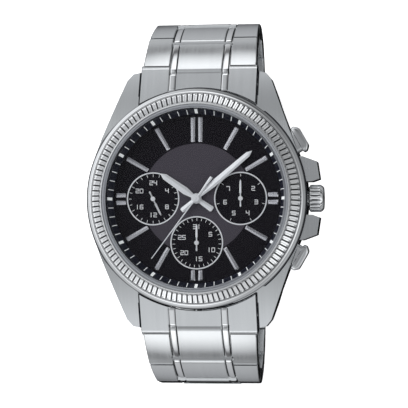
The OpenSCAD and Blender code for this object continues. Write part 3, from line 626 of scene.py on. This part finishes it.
def makeHand(node):
    # A pointed roof along its own direction, a turned hub, and the tube or arbor it rides on
    h = hands[node]
    w, long, tail = h["wide"], h["len"], h["tail"]
    y = [-tail, -tail + 0.25, -1.0, 1.0, long * 0.3, long - w * 1.6, long]
    widths = [w * share for share in blade["widths"]] + [blade["tip"]]
    low, top = h["z"] + h["thick"] * blade["edge"], h["z"] + h["thick"]
    roof = roofBar(y, widths, h["z"], low, [low + 0.02] + [top] * 5 + [low + 0.01], blade["ridge"])
    boss = hub(h["boss"], h["hole"], h["z"] + 0.01, h["z"] + h["thick"] + 0.03)
    at = (*h["at"], 0)
    shells = [moved(roof, h["turn"], at), moved(boss, 0, at), moved(tube(*h["tube"]), 0, at)]
    addPiece(node + "Shaped", shells, node, finishes["handMetal"], (node,), 5.0)


def makeSecondHand():
    # A thin needle that widens to its tail, a round hub and the arbor
    roof = roofBar(needle["stations"], needle["halfWidths"], needle["z"], needle["edge"], needle["ridge"])
    shells = [moved(roof, needle["turn"]), hub(0.7, 0, 7.0, 7.18), hub(0.26, 0, 7.1, 7.26),
              tube(0.22, 0, 2.7, 7.1)]
    addPiece("secondHandShaped", shells, "second_hand", finishes["handMetal"],
             ("second_hand",), 5.0)


makeBars()
for node in hands:
    makeHand(node)
makeSecondHand()
print("hour bars and hands made")

track = {
    "coneLow": rings["chapter"][0], "coneHigh": rings["chapter"][-1], "high": 0.025, "sunk": 0.01,
    # half width, then both ends as shares of the slope
    "minute": (0.065, 0.08, 0.9), "block": (0.28, 0.2, 0.97),
}
numbers = {
    "day": {"ticks": 24, "labels": {24: 0, 4: 60, 8: 120, 12: 180, 16: 240, 20: 300}},
    "week": {"ticks": 7, "labels": {1: 0, 2: 51.4, 3: 102.9, 4: 154.3, 5: 205.7, 6: 257.1, 7: 308.6}},
    "date": {"ticks": 31, "labels": {31: 0, 5: 58, 10: 116, 15: 174, 20: 232, 25: 290}},
}
digit = {"w": 0.28, "h": 0.38, "line": 0.062, "gap": 0.8, "high": 0.015, "radius": 3.1}
tick = {"radius": 4.5, "halfW": 0.04, "halfL": 0.26}
# bars of a squared figure: (x, y, half length along X, half length along Y) in half widths and heights
strokes = {"top": (0, 1, 1, 0), "mid": (0, 0, 1, 0), "low": (0, -1, 1, 0), "tl": (-1, 0.5, 0, 0.5),
           "tr": (1, 0.5, 0, 0.5), "bl": (-1, -0.5, 0, 0.5), "br": (1, -0.5, 0, 0.5)}
figures = {"0": "top low tl tr bl br", "1": "tr br", "2": "top tr mid bl low", "3": "top tr mid br low",
           "4": "tl tr mid br", "5": "top tl mid br low", "6": "top tl bl mid br low", "7": "top tr br",
           "8": "top mid low tl tr bl br"}


def clockWays(a):
    # Outward (sin a, cos a, 0) and sideways (cos a, -sin a, 0), with a from 12 o'clock
    return np.stack([np.sin(a), np.cos(a), 0 * a], -1), np.stack([np.cos(a), -np.sin(a), 0 * a], -1)


def coneTicks(turns, halfW, s0, s1):
    # Blocks on the sloping chapter ring between the shares s0 and s1 of its height
    a = np.radians(np.atleast_1d(turns))
    low, high = np.array(track["coneLow"]), np.array(track["coneHigh"])
    way = (high - low) / np.linalg.norm(high - low)
    out, side = clockWays(a)
    along = out * way[0] + np.array([0, 0, way[1]])
    up = -out * way[1] + np.array([0, 0, way[0]])
    mid = low + (high - low) * (s0 + s1) / 2
    centres = out * mid[0] + np.array([0, 0, mid[1]]) - up * track["sunk"]
    half = np.linalg.norm(high - low) * (s1 - s0) / 2
    return blocks(centres, side, along, up, halfW, half, track["high"])


def numberShell(text, x, y, z):
    # Squared figures side by side, each a few bars
    parts = []
    for place, sign in enumerate(text):
        middle = (place - (len(text) - 1) / 2) * digit["gap"]
        for key in figures[sign].split():
            px, py, hx, hy = strokes[key]
            cx = x + middle + (px * digit["w"] if sign != "1" else 0.0)
            cy = y + py * digit["h"]
            parts.append((cx, cy, hx * digit["w"] + digit["line"], hy * digit["h"] + digit["line"]))
    p = np.array(parts)
    centres = np.stack([p[:, 0], p[:, 1], np.full(len(p), z)], -1)
    return blocks(centres, *np.eye(3), p[:, 2], p[:, 3], digit["high"])


def makePrint():
    # The minute track on the chapter ring, and ticks and numbers on the small dials
    minutes = np.array([6.0 * k for k in range(60) if k % 5])
    shells = [coneTicks(minutes, *track["minute"]), coneTicks(30.0 * np.arange(12), *track["block"])]
    # the track glows with painted light
    addPiece("minuteTrack", shells, "watch_head", finishes["paintedGlow"])
    z = head["dialTop"] - head["smallSink"] - 0.004
    shells = []
    for name, n in numbers.items():
        x, y = head["smallDials"][name]
        a = np.linspace(0, 2 * math.pi, n["ticks"], endpoint=False)
        out, side = clockWays(a)
        spots = out * tick["radius"] + np.array([x, y, z])
        shells.append(blocks(spots, side, out, [0, 0, 1], tick["halfW"], tick["halfL"], digit["high"]))
        for label, turn in n["labels"].items():
            r, t = digit["radius"], math.radians(turn)
            shells.append(numberShell(str(label), x + r * math.sin(t), y + r * math.cos(t), z))
    addPiece("smallDialNumbers", shells, "watch_head", finishes["print"])


makePrint()
print("print made")

band = {
    "pitch": 8.0, "r": 1.5, "gap": 0.12, "slope": 41.0, "bend": 22.6, "firstPin": (24.75, 0.8), "rows": 6,
    "firstHalf": 11.1, "taper": 0.38, "middleHalf": 5.8, "stripIn": 4.42, "sideIn": 5.95,
    "crown": 0.22, "chamfer": 0.13, "backing": 0.5, "blockGap": 0.03, "backLap": 0.07,
    "stripSamples": 9, "stripSink": 0.06, "stripRound": 0.3, "roundPower": 6,
    # the strips' dark edges are painted shade along their rounded edges
    "stripDark": (0.48, 0.6),    # how far from a strip's middle its dark edge starts and is full
}
# |x| of a strip's middle, and half its width
stripMid = (band["middleHalf"] + band["stripIn"]) / 2
stripReach = (band["middleHalf"] - band["stripIn"]) / 2


def stripSeams(f):
    # Painted shade along the strips' edges: how far |x| is from the strip's middle
    return f.step(abs(abs(f.axes(f.place())[0]) - stripMid), *band["stripDark"])


finishes["strips"] = makeShadedSteel("stripSteel", stripSeams)


def linkOutline(tail):
    # Side view of a side link as (s, n): hollow arc at s = 0, round tail at s = pitch, its top
    # raised by crown * (1 - m^2) with m from -1 to 1; a middle link is the same with s turned round
    r, reach, pitch = band["r"], band["r"] + band["gap"], band["pitch"]
    start = math.acos(math.sqrt(1 - (r / reach) ** 2))
    hollow = np.linspace(start, -math.pi / 4, 14)
    tailArc = np.linspace(-math.pi / 2, math.pi / 2, 22)
    m = np.linspace(1, -1, 22)[1:-1]
    first = reach * math.cos(start)
    s = np.concatenate([reach * np.cos(hollow), [r], pitch + r * np.cos(tailArc),
                        first + (pitch - first) * (m + 1) / 2])
    n = np.concatenate([reach * np.sin(hollow), [-r], r * np.sin(tailArc), r + band["crown"] * (1 - m * m)])
    return np.stack([s if tail else pitch - s, n], -1)


def insetOutline(outline, depth):
    # Each point moved inward by depth along the outline's own normal
    ahead = np.roll(outline, -1, 0) - np.roll(outline, 1, 0)
    ahead /= np.linalg.norm(ahead, axis=1, keepdims=True) + 1e-12
    x, y = outline.T
    sign = np.sign(np.sum(x * np.roll(y, -1) - np.roll(x, -1) * y))
    return outline + sign * depth * np.stack([-ahead[:, 1], ahead[:, 0]], -1)


def inRow(i, half, x, outline):
    # (x, s, n) of a row to the watch: turned down by the row's slope at its pin, mirrored below
    y, z = band["firstPin"]
    for k in range(i):
        a = math.radians(band["slope"] + k * band["bend"])
        y, z = y + band["pitch"] * math.cos(a), z - band["pitch"] * math.sin(a)
    a = math.radians(band["slope"] + i * band["bend"])
    s, n = outline[..., 0], outline[..., 1]
    flip = 1 if half == "upper" else -1
    across = flip * (y + s * math.cos(a) + n * math.sin(a))
    return np.stack([x, across, z - s * math.sin(a) + n * math.cos(a)], -1)


def crossLoft(i, half, outline, edges, insets, taper=0.0):
    # The outline carried across X through the given edges, each inset by its own depth; with a taper
    # the edges draw in by taper a pitch
    stations = []
    for x, inset in zip(edges, insets):
        ring = insetOutline(outline, inset)
        slant = -math.copysign(taper, x) * ring[:, 0] / band["pitch"]
        stations.append(inRow(i, half, np.full(len(ring), x) + slant, ring))
    return capped(np.array(stations))


def makeRow(half, i):
    # Two side links, a middle block with its backing, and two crowned polished strips
    body, c = f"{half}_row_{i + 1}", band["chamfer"]
    side, middle = linkOutline(True), linkOutline(False)
    wide = band["firstHalf"] - i * band["taper"]
    shells = []
    for flip in (1, -1):
        x0, x1 = flip * band["sideIn"], flip * wide
        inner = crossLoft(i, half, side, [x0, x0 + flip * c], [c, 0.0])[0].reshape(2, -1, 3)
        edges, insets = [x1 - flip * 2 * c, x1 - flip * c * 0.7, x1], [0.0, c * 0.25, c]
        outer = crossLoft(i, half, side, edges, insets, band["taper"])[0]
        shells.append(capped(np.concatenate([inner, outer.reshape(3, -1, 3)])))
    edge = band["stripIn"] - band["blockGap"]
    shells.append(crossLoft(i, half, middle, [-edge, -edge + c, edge - c, edge], [c, 0.0, 0.0, c]))
    back = band["middleHalf"] + band["backLap"]
    shells.append(crossLoft(i, half, middle, [-back, back], [band["backing"], band["backing"]]))
    name, node = f"{half}Row{i + 1}", f"{half}_link_{i + 1}"
    addPiece(name, shells, body, finishes["rowSteel"], (node,), 35.0)
    m = np.linspace(-1, 1, band["stripSamples"])
    depths = band["stripSink"] + band["stripRound"] * np.abs(m) ** band["roundPower"]
    strips = [crossLoft(i, half, middle, flip * (stripMid + m * stripReach), depths) for flip in (1, -1)]
    addPiece(name + "Strips", strips, body, finishes["strips"], (), 35.0)


endPiece = {
    "slope": 24.0, "start": 0.75, "end": 4.75, "stations": 14, "sink": 0.05, "dip": 0.2, "dipLength": 0.35,
    "round": 0.15, "deep": -0.6,
}


def endStrip(half, flip):
    # A crowned strip on the end link: its section stands across X and runs down the link's slope
    e, a = endPiece, math.radians(endPiece["slope"])
    top = np.array(band["firstPin"]) + band["r"] * np.array([math.sin(a), math.cos(a)])
    t = np.linspace(e["start"], e["end"], e["stations"])
    near = np.minimum(t - e["start"], e["end"] - t) / e["dipLength"]
    sink = e["sink"] + e["dip"] * np.clip(1 - near, 0, 1) ** 2
    m = np.linspace(-1, 1, band["stripSamples"])
    n = -sink[:, None] - e["round"] * np.abs(m)[None, :] ** band["roundPower"]
    ringM, ringN = np.concatenate([m, [1.0, -1.0]]), np.hstack([n, np.full((len(t), 2), e["deep"])])
    x = flip * (stripMid + ringM * stripReach)
    y = top[0] - t[:, None] * math.cos(a) + ringN * math.sin(a)
    z = top[1] + t[:, None] * math.sin(a) + ringN * math.cos(a)
    return capped(np.stack([x[None, :] + 0 * y, y if half == "upper" else -y, z], -1))


crown = {
    "flutes": 18, "samples": 16, "depth": 0.42, "reach": 0.25, "chamfer": 0.5, "hollow": 1.7,
    # the knurl's dark grooves are painted shade
    "plain": (0.15, 0.6),    # lengths without dark grooves at the case and at the outer end
}


def crownSeams(f):
    # Painted shade in the grooves of the knurl: 1 - |sin(pi u)| for each flute's share u around X
    low, high = extent("crown")
    along = f.axes(f.place(centre=(0, 0, (low[2] + high[2]) / 2)))
    wave = f.maths("SINE", f.maths("ARCTAN2", along[2], along[1]) * (crown["flutes"] / 2))
    start, end = low[0] + crown["plain"][0], high[0] - crown["plain"][1]
    return f.step(1 - abs(wave), 0.4, 0.85) * (along[0] > start) * (along[0] < end)


def makeCrown():
    # Turned about X: on the knurl r falls by depth * (1 - |sin(pi u)|) for each flute's share u
    low, high = extent("crown")
    middle, radius, long = (low + high) / 2, (high[2] - low[2]) / 2, high[0] - low[0] + crown["reach"]
    tubeLow, tubeHigh = extent("crown_tube")
    bore = (tubeHigh[2] - tubeLow[2]) / 2 + 0.3
    floor = crown["hollow"]
    mouth = [(0.0, floor), (bore, floor), (bore, 0.0), (radius - 0.5, 0.0), (radius - 0.3, 0.1)]
    cuts = np.array([0.25, 0.8, 1, 1, 1, 1, 0.8, 0.25])    # the share of depth along the knurl
    knurl = [(radius, s) for s in np.linspace(0.3, long - crown["chamfer"] - 0.12, len(cuts))]
    end = [(radius - 0.3, long - 0.2), (radius - 0.55, long), (0.0, long)]
    profile = np.array(mouth + knurl + end)
    deep = np.zeros(len(profile))
    deep[len(mouth):-len(end)] = cuts

    def waves(t):
        u = t * crown["flutes"] / (2 * math.pi)
        return -crown["depth"] * (1 - np.abs(np.sin(math.pi * u))) * deep[None, :], 0 * t

    points, faces = turned(profile, crown["flutes"] * crown["samples"], waves=waves)
    start = low[0] - crown["reach"]
    points = np.stack([points[:, 2] + start, points[:, 0] + middle[1], points[:, 1] + middle[2]], -1)
    knurled = makeShadedSteel("knurledSteel", crownSeams, steel["knurl"])
    addPiece("crownFluted", [(points, faces)], "crown", knurled, ("crown",), 25.0)


pusher = {
    "turn": 30.0, "at": 22.3, "stem": 0.9, "tip": 16.50, "clip": 16.95, "clipThick": 0.3, "hole": 0.98,
    "case": 21.35, "slack": 0.03, "groove": 0.25, "root": 1.0, "lead": 0.05,
    # the cap from the floor of its hollow, over its mouth, to its outer face: s, half width, half height
    "cap": [(0.86, 2.3, 1.24), (0.04, 2.34, 1.28), (0.0, 2.5, 1.38), (0.1, 2.66, 1.5), (0.62, 2.7, 1.5),
            (0.78, 2.62, 1.47), (1.3, 2.16, 1.2), (1.44, 1.98, 1.08), (1.5, 1.8, 0.96)],
    "collar": [(2.12, 1.16), (2.2, 1.22)],
}


def padRing(s, halfW, halfH, power=5.0, count=72):
    # (s, w sgn(cos a)|cos a|^(2/p), h sgn(sin a)|sin a|^(2/p)): an ellipse at p = 2, squarer above
    a = np.linspace(0, 2 * math.pi, count, endpoint=False)
    c, d = np.cos(a), np.sin(a)
    return np.stack([np.full(count, s), halfW * np.sign(c) * np.abs(c) ** (2 / power),
                     halfH * np.sign(d) * np.abs(d) ** (2 / power)], -1)


def makePusher(half):
    # A hollow cap that slides over a collar on the case, and its stem with the groove for the clip
    flip, h = (1 if half == "upper" else -1), pusher
    level = sum(extent("crown"))[2] / 2
    c, d = math.cos(math.radians(h["turn"])), math.sin(math.radians(flip * h["turn"]))
    matrix = np.array([[c, d, 0], [-d, c, 0], [0, 0, 1]])

    def placed(shell):
        return shell[0] @ matrix + np.array([0, 0, level]), shell[1]

    cap = capped(np.array([padRing(h["at"] + s, w, high) for s, w, high in h["cap"]]))
    r, inner, root = h["stem"], h["stem"] - h["groove"], h["at"] + h["root"]
    near, far = h["clip"] - h["slack"], h["clip"] + h["clipThick"] + h["slack"]
    profile = np.array([(0.0, h["tip"]), (r - h["lead"], h["tip"]), (r, h["tip"] + h["lead"]), (r, near),
                        (inner, near), (inner, far), (r, far), (r, root), (0.0, root)])
    points, faces = turned(profile, 48)
    stem = (points[:, [2, 0, 1]], faces)
    addPiece(half + "PusherCapped", [placed(cap), placed(stem)], half + "_pusher", finishes["polished"],
             (half + "_pusher",), 25.0)
    end = h["at"] + 0.1
    (w0, h0), (w1, h1) = h["collar"]
    hole = h["hole"], h["hole"], 2.0
    sections = [padRing(h["case"], w1, h1), padRing(end - 0.08, w1, h1), padRing(end, w0, h0),
                padRing(end, *hole), padRing(h["case"], *hole)]
    collar = gridShell(np.array(sections), closeU=True, closeV=True)
    addPiece(half + "PusherCollar", [placed(collar)], "watch_head", finishes["polished"],
             (), 25.0)


case = {
    "edgeCut": 0.5, "backCut": 0.12, "wallTop": 5.6,
    # the ring of painted shade by the bezel as radii, where it starts, is full, fades and ends; its lowest
    # height;
    # and the painted shade along the inner edges of the lugs, up to |x| and from |y|
    "ring": (21.1, 21.16, 21.38, 21.44), "ringLow": 5.0, "lugX": 11.74, "lugY": 20.0,
}
# darkR and darkX bound the painted shade along the end link's edges
endLink = {"edgeCut": 0.16, "darkR": 21.66, "darkX": 11.26}
clasp = {"edgeCut": 0.12, "buttonCut": 0.1}


def caseSeams(f):
    # Painted shade: 1 in the ring where the case meets the bezel, and along the lugs' inner edges
    r, (x, y, z) = f.radius(0, 0), f.axes(f.place())
    start, full, fade, end = case["ring"]
    ring = f.step(r, start, full) * (1 - f.step(r, fade, end)) * (z > case["ringLow"])
    return ring + (abs(x) < case["lugX"]) * (abs(y) > case["lugY"])


def caseSides(f):
    # 1 below the top of the case, where its wall is polished
    return f.axes(f.place())[2] < case["wallTop"]


def endSeams(f):
    # Painted shade: 1 along an end link's edges: by the case inside a radius, by the lugs beyond an |x|
    r, x = f.radius(0, 0), abs(f.axes(f.place())[0])
    return (r < endLink["darkR"]) + (x > endLink["darkX"])


def makeHardware():
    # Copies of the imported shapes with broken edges
    caseSteel = makeBrushedSteel("caseSteel", 3.6, 0.05, 0.26, caseSides, caseSeams)
    endSteel = makeBrushedSteel("endSteel", 3.2, 0.06, 0.2, paintedShadeWhere=endSeams)
    edgedCopy("case", "watch_head", caseSteel, case["edgeCut"], 3)
    edgedCopy("case_back", "watch_head", finishes["claspSteel"], case["backCut"])
    makeCrown()
    for half in ("upper", "lower"):
        makePusher(half)
        edgedCopy(half + "_end_link", "watch_head", endSteel, endLink["edgeCut"], 3)
        addPiece(half + "EndStrips", [endStrip(half, 1), endStrip(half, -1)], "watch_head", finishes["strips"],
                 (), 35.0)
        for i in range(band["rows"]):
            makeRow(half, i)
    for node in ("clasp_inner_leaf", "clasp_middle_leaf", "clasp_cover"):
        edgedCopy(node, node, finishes["claspSteel"], clasp["edgeCut"])
    for node in ("clasp_button_left", "clasp_button_right"):
        edgedCopy(node, node, finishes["polished"], clasp["buttonCut"])


makeHardware()
# the finish of nodes whose shape is already right
dressed = {
    "dialBlack": ["dial"], "rubber": ["back_gasket"], "plastic": ["movement_holder"],
    "brass": ["main_plate", "train_bridge"], "board": ["circuit_board"], "wire": ["coil"], "cell": ["battery"],
    "plain": ["battery_strap", "crown_stem", "crown_tube", "setting_lever", "upper_pusher_spring",
              "lower_pusher_spring", "pusher_clips_upper", "pusher_clips_lower", "lug_spring_bars",
              "clasp_fold_pin", "clasp_cover_pin"],
}
for look, names in dressed.items():
    for name in names:
        nodes[name].data.materials.clear()
        nodes[name].data.materials.append(finishes[look])
print("hardware made")

studio = {
    # heights of the direction from 0, straight down, to 1, straight up, with their colours
    "sky": [(0.0, (0.05, 0.052, 0.056)), (0.05, (0.1, 0.104, 0.11)), (0.13, (0.5, 0.51, 0.53)),
            (0.34, (0.72, 0.73, 0.745)), (0.43, (0.5, 0.51, 0.52)), (0.478, (0.12, 0.12, 0.124)),
            (0.5, (0.12, 0.12, 0.124)), (0.535, (0.6, 0.61, 0.625)), (0.59, (0.78, 0.79, 0.8)),
            (0.63, (0.92, 0.93, 0.94)), (0.67, (0.95, 0.96, 0.97)), (0.74, (0.5, 0.51, 0.525)),
            (0.9, (0.46, 0.47, 0.48)), (0.965, (0.42, 0.43, 0.44)), (1.0, (0.3, 0.305, 0.315))],
    # soft patches of light or shade: towards, width power, strength
    "lobes": [((-0.92, 0.12, 0.36), 5, 0.22), ((-0.5, 0, -0.87), 9, -1.2), ((0.5, 0, -0.87), 9, -0.7),
              ((-0.45, 0.42, 0.79), 12, 0.5), ((0.5, 0.72, 0.3), 9, -0.3), ((0.9, -0.3, 0.3), 14, 0.35),
              ((0, 0.96, 0.28), 14, 0.45), ((0.1, 0.72, 0.69), 14, -0.3), ((-0.1, -0.74, 0.67), 14, 0.12),
              ((-0.2, -0.9, 0.4), 12, 0.3), ((0.34, -0.3, 0.88), 50, 0.4)],
    "lobeUnit": 0.45, "dimmest": 0.03, "lean": (-0.3, 0.04, 0.86), "backdrop": (0.93, 0.93, 0.94),
    "boxes": [
        {"name": "keyBox", "at": (-420, 300, 560), "size": (640, 460), "power": 3.7},
        {"name": "fillBox", "at": (560, -80, 460), "size": (420, 560), "power": 1.1},
    ],
}


def makeStudio():
    # Sky colour by the direction's height, times leanX x + leanY y + level + for each lobe
    # strength * max(towards . direction, 0) ^ power / lobeUnit; the camera sees a plain backdrop
    world = bpy.data.worlds.new("studioSky")
    bpy.context.scene.world = world
    f = Finish("", world)
    way = f.axes(f.node("ShaderNodeTexCoord", out="Generated"))
    leanX, leanY, level = studio["lean"]
    side = way[0] * leanX + way[1] * leanY + level
    for towards, width, strength in studio["lobes"]:
        facing = f.maths("MAXIMUM", way[0] * towards[0] + way[1] * towards[1] + way[2] * towards[2])
        side = side + f.maths("POWER", facing, width) * (strength / studio["lobeUnit"])
    side = f.maths("MAXIMUM", side, studio["dimmest"])
    sky = f.node("ShaderNodeBackground", None, {"Color": f.ramp(way[2] * 0.5 + 0.5, *studio["sky"]),
                                                "Strength": side})
    plain = f.node("ShaderNodeBackground", None, {"Color": studio["backdrop"], "Strength": 1.0})
    seen = f.node("ShaderNodeLightPath", out="Is Camera Ray")
    f.show(f.node("ShaderNodeMixShader", None, {0: seen, 1: sky, 2: plain}))
    for box in studio["boxes"]:
        data = bpy.data.lights.new(box["name"], "AREA")
        data.shape, (data.size, data.size_y) = "RECTANGLE", (s * mm for s in box["size"])
        data.energy = box["power"]
        lamp = linked(box["name"], data)
        spot = Vector(box["at"]) * mm
        lamp.location = spot
        lamp.rotation_euler = (-spot).to_track_quat("-Z", "Y").to_euler()
        lamp.visible_glossy = False    # the sky alone shows in the steel, so no hard edged patches
    half = view["floorHalf"]
    side = np.linspace(-half, half, 9)
    x, y = np.meshgrid(side, side, indexing="ij")
    points, faces = gridShell(np.stack([x, y, np.full_like(x, view["floorZ"])], -1))
    mesh = bpy.data.meshes.new("floor")
    mesh.from_pydata((points * mm).tolist(), [], faces)
    paper = Finish("paperFloor")
    grain = paper.noise(0.8, 4.0)
    tone = paper.blend(grain, (0.9, 0.9, 0.905), (0.93, 0.93, 0.935))
    mesh.materials.append(paper.skin(Base_Color=tone, Roughness=0.8, Emission_Color=(1.0, 1.0, 1.0),
                                     Emission_Strength=0.62))
    floor = linked("floor", mesh)
    floor.visible_glossy = False    # steel near the floor mirrors the studio, not the paper
    bpy.context.scene.view_settings.view_transform = "Standard"


placeCamera()
makeStudio()
print("studio made")
